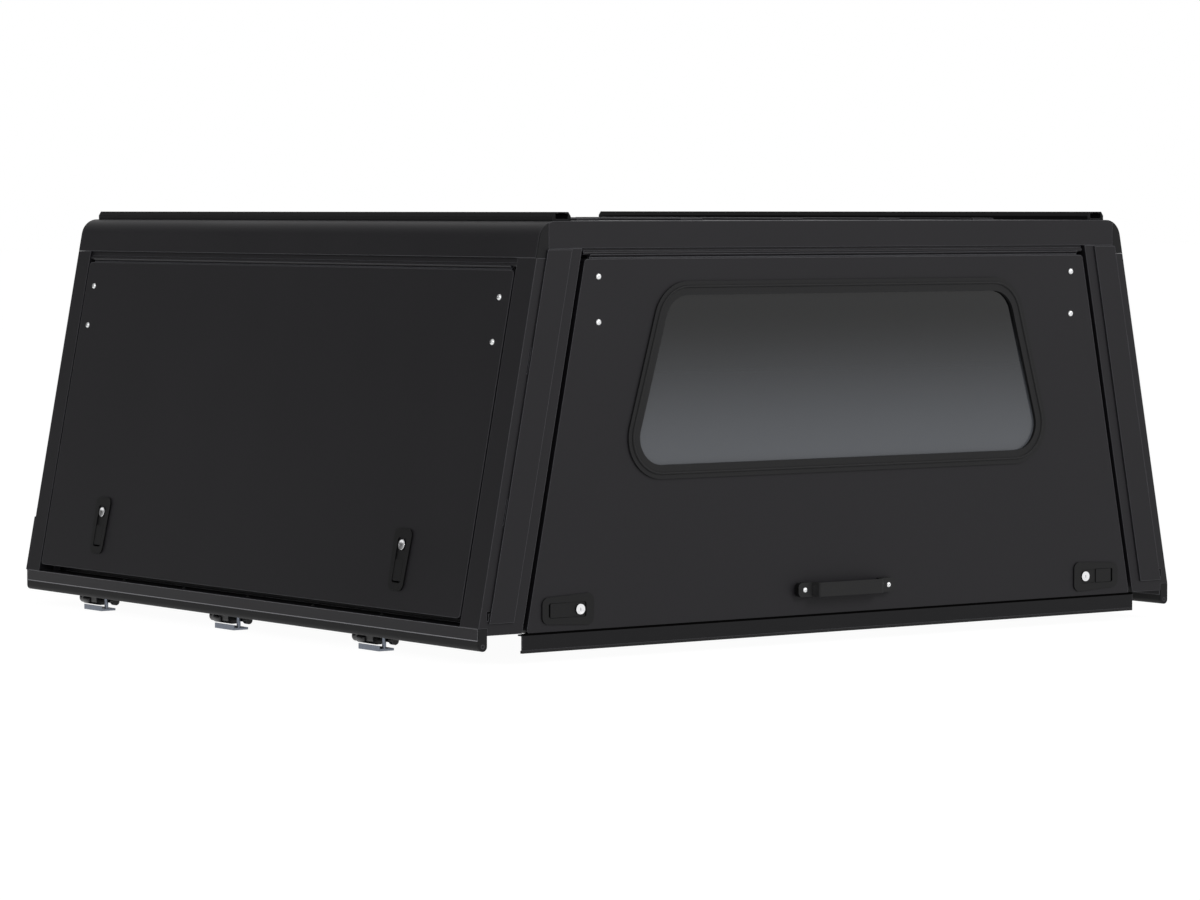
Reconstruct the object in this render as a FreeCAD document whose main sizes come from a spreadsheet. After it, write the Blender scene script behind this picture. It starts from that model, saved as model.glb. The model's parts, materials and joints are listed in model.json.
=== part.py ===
import FreeCAD, Part
import os
import re
import Sketcher

# A canopy for a pickup's load bed: leaning side walls with lift-up doors, an upright rear door with a
# window, a fixed front wall with a window, a roof between two rounded side profiles with a track on
# each, and clamps below. Millimetres. +X is the pickup's right, +Y its front, +Z up.
# Origin: on the floor under the middle of the whole canopy, which stands on its clamps.

# Each driving size: alias, value, what it is. Heights count up from the foot of the walls' corner line.
SIZES = [
    ("base_width", 1500, "over the corner lines at their foot"),
    ("body_length", 1481.5, "rear face to front face"),
    ("lean", 10.95, "inward lean of the side walls, degrees"),
    ("gutter_level", 592, "joint of wall and roof profile"),
    ("roof_level", 651, "top of the roof"),
    ("roof_radius", 33, "outer round of the roof profile"),
    ("stand_level", 62, "foot of the walls above the clamps' jaws"),
    ("plate", 2.5, "folded sheet"),
    ("extrusion", 3, "wall of the drawn profiles"),
    ("fit", 0.3, "seating clearance"),
    ("door_gap", 5, "round each door"),
    ("door_depth", 25, "doors, skin to inner face"),
    ("door_rim", 38, "width of the doors' inner frame"),
    ("door_round", 7, "doors' corners"),
    ("rear_post_side", 53, "rear post, side face"),
    ("front_post_side", 44.5, "front post, side face"),
    ("post_face", 87, "post, rear or front face"),
    ("post_foot", 11.5, "post's face below the corner's foot"),
    ("post_foot_in", 17, "post's face, its lower corner inboard"),
    ("jamb", 31, "depth of the posts' jambs"),
    ("rebate", 20, "flange behind each door's edge"),
    ("cover_width", 48, "cover strip on the rear posts"),
    ("cover_in", 18, "cover strip inboard of the corner line"),
    ("cover_depth", 3, "cover strip"),
    ("cover_foot", 7.5, "cover strip's lower end"),
    ("cover_head", 605, "cover strip's upper end"),
    ("slot_in", 15, "rear posts' slots inboard of the corner line"),
    ("slot_width", 1.6, "rear posts' slots"),
    ("slot_length", 41, "rear posts' slots"),
    ("slot_low", 164.5, "rear posts' lower slot, its foot"),
    ("slot_high", 406.3, "rear posts' upper slot, its foot"),
    ("slit_low", 12, "slit at the rear posts' foot"),
    ("slit_height", 15, "slit at the rear posts' foot"),
    ("slit_width", 2.8, "slit at the rear posts' foot"),
    ("side_foot", 13.2, "side door's lower edge"),
    ("side_head", 571.5, "side door's upper edge"),
    ("rear_foot", 13.3, "rear door's lower edge below the corner's foot"),
    ("rear_head", 589.6, "rear door's upper edge"),
    ("header_foot", 607, "headers' lower edge"),
    ("header_in", 138.3, "headers' ends inboard of the corner's foot"),
    ("header_flange", 70, "headers' top flange"),
    ("roof_edge_in", 210, "roof profiles' inner edge inboard of the corner's foot"),
    ("profile_inner", 636, "roof profiles' inner lip level"),
    ("profile_heel_in", 160, "roof profiles' inner heel inboard of the corner's foot"),
    ("pin_drop", 9.4, "hinge axis above the door's edge"),
    ("pin_in", 6, "hinge axis inside the door's face"),
    ("pin_radius", 3.5, "hinge bead"),
    ("hook_bore", 4, "hinge hook, inner radius"),
    ("hook_radius", 6.5, "hinge hook, outer radius"),
    ("hinge_short", 12, "hinge leaf inside the door's end"),
    ("rail_drop", 20, "base rail's outer box, height"),
    ("rail_box", 16.5, "base rail's outer box, width"),
    ("rail_flange", 11.5, "base rail's foot flange below the corner's foot"),
    ("rail_shelf", 42, "base rail's sill under the door"),
    ("rail_lip", 28, "base rail's upstand behind the door"),
    ("rail_foot", 62, "base rail's foot flange"),
    ("bulb_bore", 4.5, "hollow of the rubber bulb under the rail's box"),
    ("track_width", 36.7, "roof track"),
    ("track_height", 14.5, "roof track"),
    ("track_in", 170.4, "roof track's middle inboard of the corner's foot"),
    ("track_slot", 25, "roof track's hollow"),
    ("track_mouth", 13, "roof track's open top"),
    ("track_short", 9.5, "roof track inside the canopy's ends"),
    ("glass_half", 367, "half of the clear glass at its head"),
    ("glass_head", 529, "clear glass, upper edge"),
    ("glass_foot", 250.6, "clear glass, lower edge"),
    ("glass_slope", 15.8, "lean of the glass's ends, degrees"),
    ("glass_round", 46, "clear glass, corner radius"),
    ("glass_depth", 4, "glass"),
    ("rubber_width", 23, "window rubber over the skin"),
    ("rubber_proud", 3, "window rubber above the skin"),
    ("rubber_web", 11.7, "window rubber inside the opening"),
    ("latch_across", 52.5, "latch, wide end"),
    ("latch_narrow", 42.6, "latch, narrow end"),
    ("latch_up", 27, "latch, key to wide end"),
    ("latch_down", 76, "latch, key to narrow end"),
    ("latch_round", 12, "latch, wide end's corners"),
    ("latch_proud", 2.5, "latch bezel above the skin"),
    ("latch_inside", 18, "latch behind the skin"),
    ("latch_floor", 10, "latch's finger slot below the skin"),
    ("latch_dish", 1.8, "latch's shallow dish"),
    ("paddle_half", 11.5, "latch's paddle, middle to edge"),
    ("paddle_foot", 12.5, "latch's paddle from the narrow end"),
    ("paddle_length", 39, "latch's dish from its foot to the paddle's head"),
    ("finger_slot", 3.5, "slot that takes a fingertip behind the paddle"),
    ("key_radius", 9, "lock barrel"),
    ("side_latch_in", 194.5, "side latches' keys from the door's end"),
    ("side_latch_level", 119.2, "side latches' keys"),
    ("rear_latch_in", 199.5, "rear latches' keys inboard of the corner's foot"),
    ("rear_latch_level", 22.3, "rear latches' keys"),
    ("handle_length", 210, "pull handle"),
    ("handle_height", 24, "pull handle"),
    ("handle_reach", 24, "pull handle from the door's face"),
    ("handle_level", 31, "pull handle's middle"),
    ("handle_foot", 30, "pull handle's seats"),
    ("handle_seat", 11, "pull handle's seats"),
    ("lip_in", 85, "rear door's lip, its ends inboard of the corner's foot"),
    ("lip_drop", 39.5, "rear door's lower lip, lowest"),
    ("lip_flange", 12, "rear door's lower lip, its flange under the door"),
    ("lip_seal", 4.5, "rubber under the lip"),
    ("front_seal", 4, "foam strip on the front"),
    ("front_seal_level", 97.6, "foam strip's upper edge"),
    ("side_strut_in", 47, "side struts from the door's end"),
    ("rear_strut_in", 255, "rear struts inboard of the corner's foot"),
    ("strut_pin_in", 52, "strut's door pin inside the hinge axis"),
    ("strut_pin_down", 92, "strut's door pin below the hinge axis"),
    ("strut_foot_in", 56, "strut's frame pin inside the hinge axis"),
    ("strut_foot_down", 400, "strut's frame pin below the hinge axis"),
    ("strut_radius", 9, "strut's cylinder"),
    ("rod_radius", 4, "strut's rod and its pins"),
    ("eye_radius", 8, "strut's eyes"),
    ("eye_width", 10, "strut's eyes"),
    ("bracket", 3, "strut brackets' plate"),
    ("bracket_across", 24, "door brackets' base"),
    ("bracket_tall", 96, "door brackets' base"),
    ("side_bolts_in", 29, "side brackets' bolts from the door's end"),
    ("rear_bolts_in", 237, "rear brackets' bolts inboard of the corner's foot"),
    ("clamp_first", 327, "rearmost clamp's rod from the rear face"),
    ("clamp_step", 460.5, "clamp to clamp"),
    ("clamp_in", 35, "clamp's rod inside the corner's foot"),
    ("clamp_rod", 3.5, "clamp's plated rod, radius"),
    ("clamp_jaw", 4, "clamp's jaw, its plate"),
    ("clamp_jaw_half", 15, "clamp's jaw, half its width"),
    ("clamp_jaw_ahead", 55, "clamp's jaw ahead of its rod"),
    ("clamp_jaw_edge", 9, "clamp's jaw, its folded outer edge, height"),
    ("clamp_bolt", 4, "clamp's bolt, radius"),
    ("clamp_bolt_in", 8, "clamp's bolt inboard of the rod"),
    ("clamp_bolt_drop", 33, "clamp's bolt below the rail's flange"),
    ("clamp_behind", 22, "clamp's bolt behind the rod"),
    ("clamp_ahead", 97, "clamp's bolt ahead of the rod"),
    ("clamp_head", 7, "clamp's bolt head, radius"),
    ("clamp_knob", 9, "clamp's knob, radius"),
    ("clamp_block_near", 16, "clamp's block from the rod, near end"),
    ("clamp_block_far", 68, "clamp's block from the rod, far end"),
    ("clamp_block_half", 12, "clamp's block, half its width"),
    ("clamp_block_drop", 41.5, "clamp's block below the rail's flange"),
    ("bow_depth", 22, "roof bows"),
    ("bow_width", 50, "roof bows"),
    ("swage", 3.5, "roof swages' height"),
    ("swage_width", 46, "roof swages"),
    ("side_door_half", "=(body_length - rear_post_side - front_post_side) / 2 - door_gap", "side door, middle to end"),
    ("header_half", "=base_width / 2 - header_in", "headers, middle to end"),
    ("roof_edge", "=base_width / 2 - roof_edge_in", "roof profiles' inner edge from the middle"),
    ("profile_heel", "=base_width / 2 - profile_heel_in", "roof profiles' inner heel from the middle"),
    ("track_middle", "=base_width / 2 - track_in", "roof track from the middle"),
    ("rear_latch_along", "=base_width / 2 - rear_latch_in", "rear latches' keys from the middle"),
    ("rear_strut_along", "=base_width / 2 - rear_strut_in", "rear struts from the middle"),
    ("rear_bolts_along", "=base_width / 2 - rear_bolts_in", "rear brackets' bolts from the middle"),
    ("lip_half", "=base_width / 2 - lip_in", "rear door's lower lip, middle to end"),
    ("side_latch_along", "=side_door_half - side_latch_in", "side latches from the door's middle"),
    ("strut_along", "=side_door_half - side_strut_in", "side struts from the door's middle"),
    ("side_bolts_along", "=side_door_half - side_bolts_in", "side brackets' bolts from the door's middle"),
]

doc = FreeCAD.newDocument("Canopy")
sheet = doc.addObject("Spreadsheet::Sheet", "Sizes")
for row, (alias, value, meaning) in enumerate(SIZES, 1):
    sheet.set("A%d" % row, alias)
    sheet.set("B%d" % row, str(value))
    sheet.set("C%d" % row, meaning)
    sheet.setAlias("B%d" % row, alias)
doc.recompute()

ALIASES = {alias for alias, value, meaning in SIZES}
VECTOR = FreeCAD.Vector
nodes = []


def bound(text):
    """A formula of size names, written so that an object can be tied to the sheet by it."""
    return re.sub(r"[a-z_]+", lambda word: "Sizes." + word[0] if word[0] in ALIASES else word[0], text)


def number(text):
    return float(sheet.evalExpression(text))


def spot(x="0", y="0", z="0", yaw="0", pitch="0", roll="0"):
    """A place and a turn as one formula; places are multiplied like matrices."""
    return ("create(<<placement>>; create(<<vector>>; %s; %s; %s); create(<<rotation>>; %s; %s; %s))"
            % (x, y, z, yaw, pitch, roll))


def wall(level):
    """Half the width over the side walls at a level."""
    return "(base_width / 2 - tan(lean) * (%s))" % level


# The canopy's middle is the origin: the handle is the rearmost piece, the foam strip the foremost.
HALF = "base_width / 2"
REAR = "(handle_reach - body_length - front_seal) / 2"
MIDDLE = "(%s + body_length / 2)" % REAR
DOOR_MIDDLE = "(rear_post_side + body_length - front_post_side) / 2"
DOOR_HALF = "side_door_half"

# Frames that pieces are drawn in: local x, y and z run as each line says.
REAR_FACE = spot("0", REAR, "stand_level", roll="90")                        # right, up, rearwards
FRONT_FACE = spot("0", REAR + " + body_length", "stand_level", "180", "0", "90")   # left, up, forwards
SIDE_FACE = spot(HALF, REAR + " + " + DOOR_MIDDLE, "stand_level", "90", "0", "90 - lean")  # forwards, up the wall, out
SIDE_SECTION = spot(HALF, REAR + " + " + DOOR_MIDDLE, "stand_level", "0", "-lean", "90")   # out, up the wall, rearwards
UPRIGHT_SECTION = spot(HALF, MIDDLE, "stand_level", roll="90")               # out, up, rearwards
POST_SECTION = spot(HALF, REAR, "stand_level", "90", "0", "-lean")           # forwards, inwards, up the wall
REAR_SECTION = spot("0", REAR, "stand_level", "-90", "0", "90")              # rearwards, up, left
FRONT_SECTION = spot("0", REAR + " + body_length", "stand_level", "90", "0", "90")  # forwards, up, right
ROOF = spot("0", MIDDLE, "stand_level + roof_level")                         # right, forwards, up

SIDE_FOOT = "side_foot / cos(lean)"
SIDE_HEAD = "side_head / cos(lean)"
SIDE_PIN = "(side_head / cos(lean) + pin_drop)"
REAR_PIN = "(rear_head + pin_drop)"


def body(label, place):
    """An empty body with a frame of its own."""
    made = doc.addObject("PartDesign::Body", label)
    made.Label = label
    made.setExpression("Placement", bound(place))
    return made


def draft(owner, level, loops):
    """A sketch across the body's z axis at a level: closed outlines of corners, or (x, y, radius) circles."""
    drawn = owner.newObject("Sketcher::SketchObject", owner.Name + "_draft")
    plane = [part for part in owner.Origin.OriginFeatures if part.Role == "XY_Plane"][0]
    drawn.AttachmentSupport = [(plane, "")]
    drawn.MapMode = "FlatFace"
    drawn.setExpression("AttachmentOffset.Base.z", bound(level))
    for loop in loops:
        if isinstance(loop[0], str):
            draw_circle(drawn, loop)
        else:
            draw_outline(drawn, loop)
    return drawn


def tie(drawn, kind, edge, point, text):
    """A dimension from the sketch's origin to a point, bound to its formula."""
    rule = Sketcher.Constraint(kind, -1, 1, edge, point, number(text))
    rule.Name = "%s_%d" % (kind, edge)
    drawn.addConstraint(rule)
    drawn.setExpression("Constraints." + rule.Name, bound(text))


def tie_radius(drawn, edge, text):
    rule = Sketcher.Constraint("Radius", edge, number(text))
    rule.Name = "Radius_%d" % edge
    drawn.addConstraint(rule)
    drawn.setExpression("Constraints." + rule.Name, bound(text))


def draw_circle(drawn, circle):
    x, y, radius = circle
    centre = VECTOR(number(x), number(y), 0)
    edge = drawn.addGeometry(Part.Circle(centre, VECTOR(0, 0, 1), number(radius)))
    tie_radius(drawn, edge, radius)
    tie(drawn, "DistanceX", edge, 3, x)
    tie(drawn, "DistanceY", edge, 3, y)


def draw_outline(drawn, corners):
    """A closed outline; a corner's third value, where it has one, is its radius."""
    places = [VECTOR(number(corner[0]), number(corner[1]), 0) for corner in corners]
    first = drawn.GeometryCount
    count = len(corners)
    for index in range(count):
        drawn.addGeometry(Part.LineSegment(places[index], places[(index + 1) % count]))
    for index in range(count):
        after = first + (index + 1) % count
        drawn.addConstraint(Sketcher.Constraint("Coincident", first + index, 2, after, 1))
    for index, corner in enumerate(corners):
        tie(drawn, "DistanceX", first + index, 1, corner[0])
        tie(drawn, "DistanceY", first + index, 1, corner[1])
    for index, corner in enumerate(corners):
        if len(corner) == 3:
            before = (index - 1) % count
            near = (places[before] + places[index]) / 2
            far = (places[index] + places[(index + 1) % count]) / 2
            arc = drawn.GeometryCount
            drawn.fillet(first + before, first + index, near, far, number(corner[2]), 1, True)
            while not isinstance(drawn.Geometry[arc], Part.ArcOfCircle):
                arc += 1
            tie_radius(drawn, arc, corner[2])


def rounded(corners, radius):
    """The same outline with this radius at every corner."""
    return [(x, y, radius) for x, y in corners]


def pad(owner, low, high, *loops):
    """Solid between two levels of the body's z axis."""
    drawn = draft(owner, low, loops)
    grown = owner.newObject("PartDesign::Pad", owner.Name + "_pad")
    grown.Profile = drawn
    grown.setExpression("Length", bound("(%s) - (%s)" % (high, low)))
    doc.recompute()
    if "Invalid" in grown.State:
        raise ValueError("a pad of %s fails" % owner.Label)
    return owner


def bar(owner, length, *loops):
    """Solid of a drawn section, half its length to each side of the frame."""
    return pad(owner, "-(%s) / 2" % length, "(%s) / 2" % length, *loops)


def pocket(owner, low, high, *loops):
    """Removes what lies between two levels of the body's z axis."""
    before = owner.Shape.Volume
    drawn = draft(owner, high, loops)
    cut = owner.newObject("PartDesign::Pocket", owner.Name + "_pocket")
    cut.Profile = drawn
    cut.setExpression("Length", bound("(%s) - (%s)" % (high, low)))
    doc.recompute()
    if not owner.Shape.Volume < before:
        raise ValueError("a pocket of %s cuts nothing" % owner.Label)
    return owner


def keep(made):
    """Marks an object as a node of the canopy."""
    nodes.append(made)
    return made


def mirrored(label, source, normal=(1, 0, 0)):
    """The same piece on the other side of a plane through the origin."""
    made = doc.addObject("Part::Mirroring", label)
    made.Label = label
    made.Source = source
    made.Normal = VECTOR(*normal)
    return made


def together(label, pieces):
    """Like pieces that don't touch, as one node."""
    made = doc.addObject("Part::Compound", label)
    made.Label = label
    made.Links = pieces
    return made


def fused(label, pieces):
    made = doc.addObject("Part::MultiFuse", label)
    made.Label = label
    made.Shapes = pieces
    return made


def common(label, base, tool):
    made = doc.addObject("Part::Common", label)
    made.Label = label
    made.Base = base
    made.Tool = tool
    return made


def cut(label, base, tool):
    made = doc.addObject("Part::Cut", label)
    made.Label = label
    made.Base = base
    made.Tool = tool
    return made


def pair(label, right):
    """Two nodes, the right one as drawn and the left one its mirror image."""
    right.Label = label + "_right"
    keep(right)
    keep(mirrored(label + "_left", right))


def box(x0, x1, y0, y1):
    """Corners of an upright rectangle."""
    return [(x0, y0), (x1, y0), (x1, y1), (x0, y1)]


def cylinder(label, place, radius, length):
    """A round bar along the frame's z axis."""
    made = doc.addObject("Part::Cylinder", label)
    made.Label = label
    made.setExpression("Radius", bound(radius))
    made.setExpression("Height", bound(length))
    made.setExpression("Placement", bound(place))
    return made


# Posts: sheet folded round the corner line, with a jamb and a rebate for each door's edge.
def post(name, end, inwards, side_face):
    """A post's section between the side door and the end wall, cut to its levels."""
    def along(distance):
        return "(%s) %s (%s)" % (end, inwards, distance)
    made = body(name + "_sheet", POST_SECTION)
    pad(made, "-100", "gutter_level / cos(lean) + 100", [
        (along("0"), "0"),
        (along(side_face), "0"),
        (along(side_face), "jamb"),
        (along(side_face + " + rebate"), "jamb"),
        (along(side_face + " + rebate"), "jamb + plate"),
        (along(side_face + " - plate"), "jamb + plate"),
        (along(side_face + " - plate"), "plate"),
        (along("plate"), "plate"),
        (along("plate"), "(post_face - plate) * cos(lean)"),
        (along("jamb + plate"), "(post_face - plate) * cos(lean)"),
        (along("jamb + plate"), "(post_face + rebate) * cos(lean)"),
        (along("jamb"), "(post_face + rebate) * cos(lean)"),
        (along("jamb"), "post_face * cos(lean)"),
        (along("0"), "post_face * cos(lean)"),
    ])
    return common(name, made, post_trim)


post_trim = body("post_trim", REAR_FACE)
pad(post_trim, "-body_length - 20", "20", [
    ("profile_heel - 200", "-post_foot"),
    (HALF + " - post_foot_in", "-post_foot"),
    (HALF + " - post_foot_in", "fit"),
    (HALF + " + 20", "fit"),
    (HALF + " + 20", "gutter_level - fit"),
    ("header_half", "gutter_level - fit"),
    ("header_half", "header_foot - fit"),
    ("profile_heel - 200", "header_foot - fit"),
])
clearance = body("post_clearance", REAR_FACE)
pad(clearance, "extrusion - body_length", "-extrusion",
    box("profile_heel - fit", HALF, "gutter_level - fit", "header_foot + fit"),
    box(HALF + " - rail_foot - fit", HALF, "-post_foot - fit", "fit"))
rear_sheet = cut("rear_sheet", post("rear_post", "0", "+", "rear_post_side"), clearance)
front_sheet = cut("front_sheet", post("front_post", "body_length", "-", "front_post_side"), clearance)

# In the rear posts' face: slots along the cover strip and a key-shaped slit at the foot.
slots = body("post_slots", REAR_FACE)
for low in ("slot_low", "slot_high"):
    high = low + " + slot_length"
    pad(slots, "-plate * 2", "plate", [
        (wall(low) + " - slot_in", low),
        (wall(high) + " - slot_in", high),
        (wall(high) + " - slot_in - slot_width", high),
        (wall(low) + " - slot_in - slot_width", low),
    ])
pad(slots, "-plate * 2", "plate", [
    (HALF + " - rail_box", "slit_low"),
    (HALF + " - rail_box", "slit_low + slit_height"),
    (HALF + " - rail_box - 3 * slit_width", "slit_low + slit_height"),
    (HALF + " - rail_box - 3 * slit_width", "slit_low + slit_height - slit_width"),
    (HALF + " - rail_box - slit_width", "slit_low + slit_height - slit_width"),
    (HALF + " - rail_box - slit_width", "slit_low"),
])
pair("rear_post", cut("rear_post_cut", rear_sheet, slots))
pair("front_post", front_sheet)

cover = body("cover", REAR_FACE)
pad(cover, "0", "cover_depth", [
    (wall("cover_foot") + " - cover_in", "cover_foot"),
    (wall("cover_head") + " - cover_in", "cover_head"),
    (wall("cover_head") + " - cover_in - cover_width", "cover_head"),
    (wall("cover_foot") + " - cover_in - cover_width", "cover_foot"),
])
keep(together("post_covers", [cover, mirrored("cover_left", cover)]))


# Base rails with their rubber bulbs.
rail = body("rail", UPRIGHT_SECTION)
bar(rail, "body_length - 2 * (plate + fit)", [
    ("0", "0"),
    ("0", "-rail_drop"),
    ("-rail_box", "-rail_drop"),
    ("-rail_box", "-rail_flange"),
    ("-rail_foot", "-rail_flange"),
    ("-rail_foot", "extrusion - rail_flange"),
    ("-rail_box", "extrusion - rail_flange"),
    ("-rail_box", "-extrusion"),
    ("-rail_shelf - extrusion", "-extrusion"),
    ("-rail_shelf - extrusion", "rail_lip"),
    ("-rail_shelf", "rail_lip"),
    ("-rail_shelf", "0"),
], box("extrusion - rail_box", "-extrusion", "extrusion - rail_drop", "-extrusion"))
pair("base_rail", rail)
BULB_ROUND = "rail_box / 2 - fit"
bulb = body("bulb", UPRIGHT_SECTION)
bar(bulb, "body_length - 2 * (plate + fit)", [
    ("0", "-rail_drop"),
    ("-rail_box", "-rail_drop"),
    ("-rail_box", "-rail_drop - rail_box", BULB_ROUND),
    ("0", "-rail_drop - rail_box", BULB_ROUND),
], ("-rail_box / 2", "-rail_drop - rail_box / 2", "bulb_bore"))
keep(together("rail_seals", [bulb, mirrored("bulb_left", bulb)]))
rail_ends = []
for name, low in (("rail_end_rear", "-plate"), ("rail_end_front", "-body_length")):
    plug = body(name, REAR_FACE)
    pad(plug, low, low + " + plate", [
        (HALF, "0"),
        (HALF + " - rail_box", "0"),
        (HALF + " - rail_box", "-rail_drop - rail_box", BULB_ROUND),
        (HALF, "-rail_drop - rail_box", BULB_ROUND),
    ])
    rail_ends.append(plug)
right_ends = together("right_rail_ends", rail_ends)
keep(together("rail_caps", [right_ends, mirrored("left_rail_ends", right_ends)]))


# Roof: a round shape that trims what meets the roof's edge, side profiles, headers, panel, bows and tracks.
roof_shape = body("roof_shape", REAR_FACE)
pad(roof_shape, "-body_length", "0", [
    ("-" + wall("gutter_level"), "gutter_level"),
    (wall("gutter_level"), "gutter_level"),
    (wall("roof_level"), "roof_level", "roof_radius"),
    ("-" + wall("roof_level"), "roof_level", "roof_radius"),
])

profile = body("profile", UPRIGHT_SECTION)
bar(profile, "body_length - 2 * (extrusion + fit)", [
    ("-tan(lean) * gutter_level", "gutter_level"),
    ("-tan(lean) * roof_level", "roof_level", "roof_radius"),
    ("roof_edge - " + HALF, "roof_level"),
    ("roof_edge - " + HALF, "profile_inner"),
    ("profile_heel - " + HALF, "gutter_level"),
])
pocket(profile, "-body_length", "body_length", [
    ("-tan(lean) * (gutter_level + extrusion) - extrusion / cos(lean)", "gutter_level + extrusion"),
    ("-tan(lean) * (roof_level - extrusion) - extrusion / cos(lean)", "roof_level - extrusion",
     "roof_radius - extrusion"),
    ("roof_edge + extrusion - " + HALF, "roof_level - extrusion"),
    ("roof_edge + extrusion - " + HALF, "profile_inner + extrusion / 2"),
    ("profile_heel + extrusion / 2 - " + HALF, "gutter_level + extrusion"),
])
end_blocks = []
for name, low in (("rear_end", "-extrusion"), ("front_end", "-body_length")):
    block = body(name, REAR_FACE)
    pad(block, low, low + " + extrusion", box("header_half + fit", HALF, "gutter_level", "roof_level + 5"))
    end_blocks.append(common(name + "_cap", block, roof_shape))
caps = together("caps", end_blocks)
pair("roof_profile", profile)
keep(together("roof_caps", [caps, mirrored("caps_left", caps)]))


def header(name, section_frame, face_frame):
    """A header: its web reaches in front of the roof profiles' ends, its flange carries the roof panel."""
    section = body(name + "_section", section_frame)
    bar(section, "2 * (roof_edge - fit)", [
        ("0", "header_foot"),
        ("0", "roof_level"),
        ("-header_flange", "roof_level"),
        ("-header_flange", "roof_level - plate"),
        ("-extrusion", "roof_level - plate"),
        ("-extrusion", "header_foot + plate"),
        ("-jamb", "header_foot + plate"),
        ("-jamb", "header_foot"),
    ])
    web = body(name + "_web", face_frame)
    pad(web, "-extrusion", "0", box("-header_half", "header_half", "header_foot", "roof_level"))
    return keep(common(name, fused(name + "_raw", [section, web]), roof_shape))


header("rear_header", REAR_SECTION, REAR_FACE)
header("front_header", FRONT_SECTION, FRONT_FACE)

panel = body("roof_panel", ROOF)
PANEL_HALF = "(body_length / 2 - header_flange - fit)"
pad(panel, "-plate", "0", box("fit - roof_edge", "roof_edge - fit", "-" + PANEL_HALF, PANEL_HALF))
SWAGES = 5
SWAGE_STEP = "(2 * roof_edge / %d)" % SWAGES
swages = []
for index in range(SWAGES):
    middle = "%s * %g" % (SWAGE_STEP, index - (SWAGES - 1) / 2)
    swages.append(box(middle + " - swage_width / 2", middle + " + swage_width / 2",
                      "header_flange - " + PANEL_HALF, PANEL_HALF + " - header_flange"))
pad(panel, "0", "swage", *swages)
keep(panel)

bows = []
for name, along in (("rear_bow", "-body_length / 6"), ("front_bow", "body_length / 6")):
    bow = body(name, ROOF)
    top = "-plate"
    pad(bow, "-bow_depth", top, box("fit - roof_edge", "roof_edge - fit", along + " - bow_width / 2",
                                    along + " + bow_width / 2"))
    pocket(bow, "plate - bow_depth", top, box("-roof_edge", "roof_edge", along + " - bow_width / 2 + plate",
                                              along + " + bow_width / 2 - plate"))
    bows.append(bow)
keep(together("roof_bows", bows))

track = body("track", UPRIGHT_SECTION)


def across(distance):
    """Section coordinate of a point at a distance outboard of the track's middle."""
    return "track_middle - %s + (%s)" % (HALF, distance)


TRACK_FLOOR = "roof_level + track_height / 5"
TRACK_LIP = "roof_level + track_height * 4 / 5"
bar(track, "body_length - 2 * track_short", [
    (across("-track_width / 2"), "roof_level"),
    (across("track_width / 2"), "roof_level"),
    (across("track_width / 2"), "roof_level + track_height / 2"),
    (across("track_width / 2 - track_height / 3"), "roof_level + track_height"),
    (across("track_mouth / 2"), "roof_level + track_height"),
    (across("track_mouth / 2"), TRACK_LIP),
    (across("track_slot / 2"), TRACK_LIP),
    (across("track_slot / 2"), TRACK_FLOOR),
    (across("-track_slot / 2"), TRACK_FLOOR),
    (across("-track_slot / 2"), TRACK_LIP),
    (across("-track_mouth / 2"), TRACK_LIP),
    (across("-track_mouth / 2"), "roof_level + track_height"),
    (across("track_height / 3 - track_width / 2"), "roof_level + track_height"),
    (across("-track_width / 2"), "roof_level + track_height / 2"),
])
pair("roof_track", track)


# Hinges: a bead on a rail behind each door's head, and a hooked leaf on the door that turns round it.
def hinge_rail(name, section_frame, pin, length, seat):
    """The fixed half: a plate behind the hinge, an arm and the bead; seat gives the level above it."""
    made = body(name, section_frame)
    behind = "-pin_in - hook_radius - 2"
    bar(made, length, [
        ("-pin_in - plate / 2", pin),
        ("-pin_in - plate / 2", pin + " + hook_radius"),
        (behind, pin + " + hook_radius"),
        (behind, pin + " - pin_radius / 2"),
        (behind + " - plate", pin + " - pin_radius / 2"),
        (behind + " - plate", seat(behind + " - plate")),
        ("-pin_in + plate / 2", seat("-pin_in + plate / 2")),
        ("-pin_in + plate / 2", pin),
    ])
    return bar(made, length, ("-pin_in", pin, "pin_radius"))


def hinge_leaf(name, section_frame, pin, length):
    """The moving half: a flange on the door's edge and a hook open towards the top."""
    made = body(name, section_frame)
    bar(made, length, ("-pin_in", pin, "hook_radius"), ("-pin_in", pin, "hook_bore"))
    reach = "2 * hook_radius"
    pocket(made, "-(%s)" % length, length, [
        ("-pin_in", pin),
        ("-pin_in + %s * cos(20)" % reach, pin + " - %s * sin(20)" % reach),
        ("-pin_in + " + reach, pin + " + " + reach),
        ("-pin_in - " + reach, pin + " + " + reach),
        ("-pin_in - %s * cos(30)" % reach, pin + " - %s * sin(30)" % reach),
    ])
    edge = pin + " - pin_drop"
    return bar(made, length, [
        ("-pin_in - hook_radius", edge),
        ("-plate", edge),
        ("-plate", edge + " + 2"),
        ("-pin_in + 2", edge + " + 2"),
        ("-pin_in + 2", pin + " - (hook_radius + hook_bore) / 2"),
        ("-pin_in - 2", pin + " - (hook_radius + hook_bore) / 2"),
        ("-pin_in - 2", edge + " + 2"),
        ("-pin_in - hook_radius", edge + " + 2"),
    ])


def gutter_seat(out):
    """Level under the roof profile in the leaning frame, at a distance out of the wall's face."""
    return "(gutter_level - fit) / cos(lean) - (%s) * tan(lean)" % out


def header_seat(out):
    return "header_foot - fit"


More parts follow.
